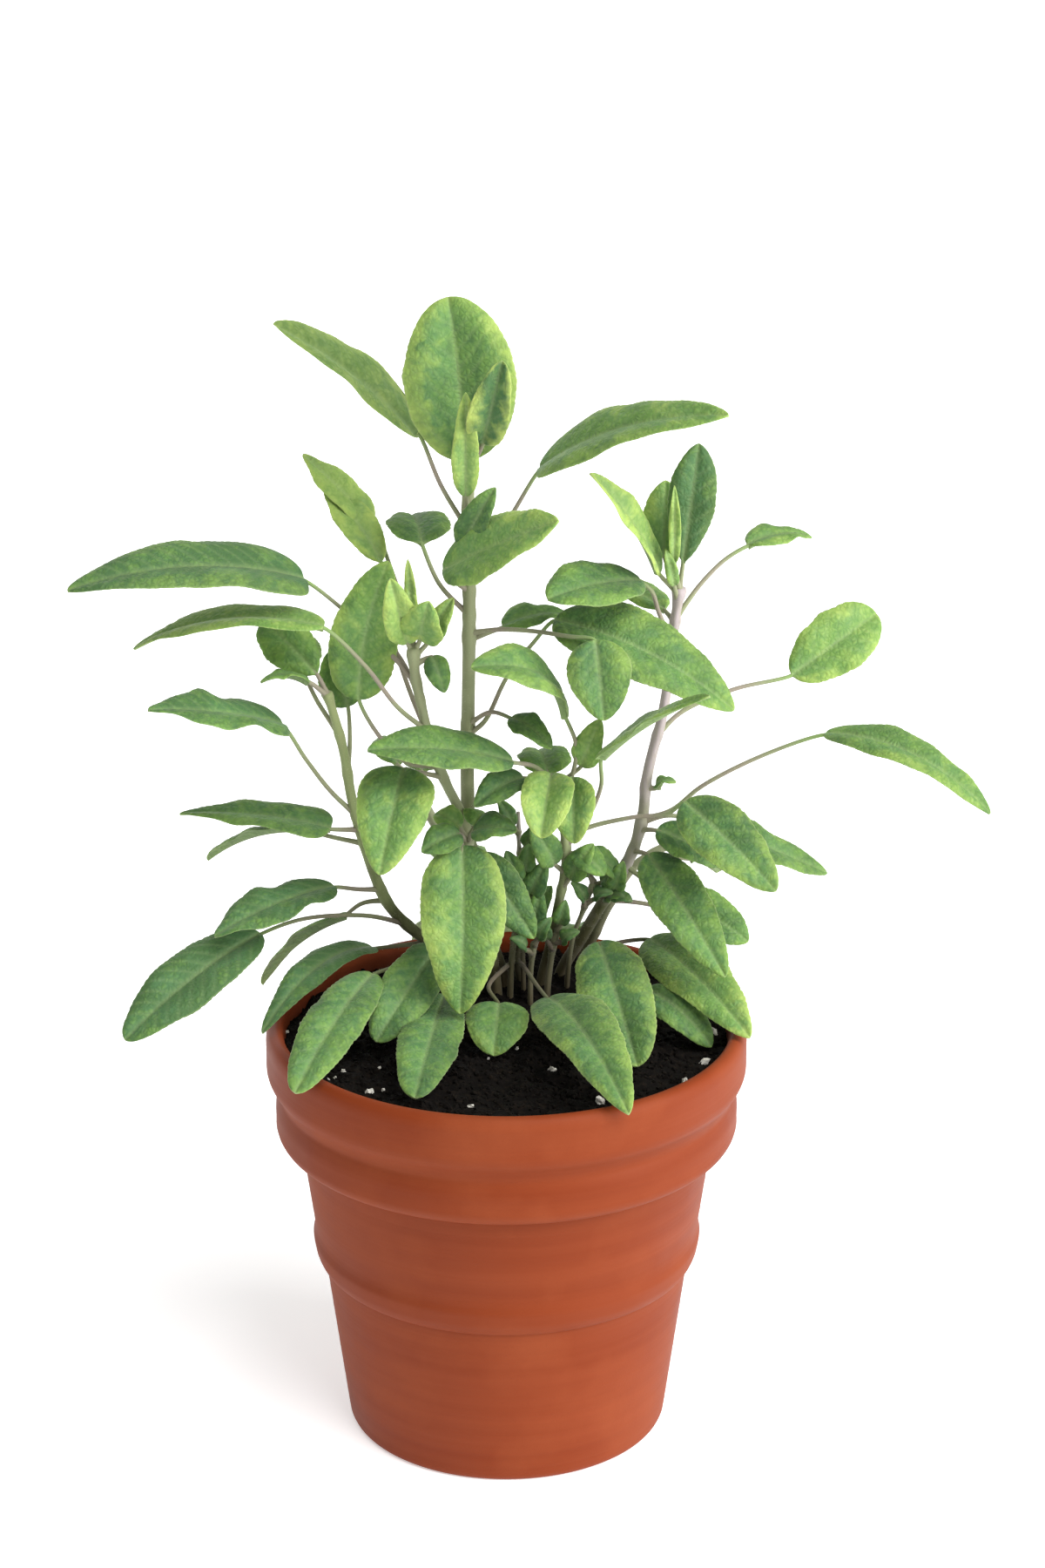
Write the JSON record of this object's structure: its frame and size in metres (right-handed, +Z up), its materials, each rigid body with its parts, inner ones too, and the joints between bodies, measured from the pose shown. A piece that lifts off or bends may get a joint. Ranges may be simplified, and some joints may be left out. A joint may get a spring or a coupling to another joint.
{
  "type": "potted sage",
  "caption": "Young leafy sage plant on branching stems, growing in soil in a round terracotta pot with a rolled rim.",
  "frame": {"origin": "centre of the pot's base, on the surface that it stands on", "axes": "+Z up along the pot's axis, -Y toward the front that the picture shows, +X to its right"},
  "size_m": [0.2602, 0.1686, 0.335],
  "materials": {
    "terracotta": "satin",
    "potting_mix": "matte",
    "sage_leaf": "matte"
  },
  "bodies": {
    "root": {"pot": "terracotta", "soil": "potting_mix", "shoot_main": "sage_leaf", "shoot_second": "sage_leaf", "shoot_left": "sage_leaf", "shoot_right": "sage_leaf", "shoot_centre_right": "sage_leaf", "shoot_front": "sage_leaf", "shoot_low": "sage_leaf", "shoot_low_right": "sage_leaf", "shoot_back_left": "sage_leaf", "shoot_back_right": "sage_leaf"}
  },
  "joints": []
}
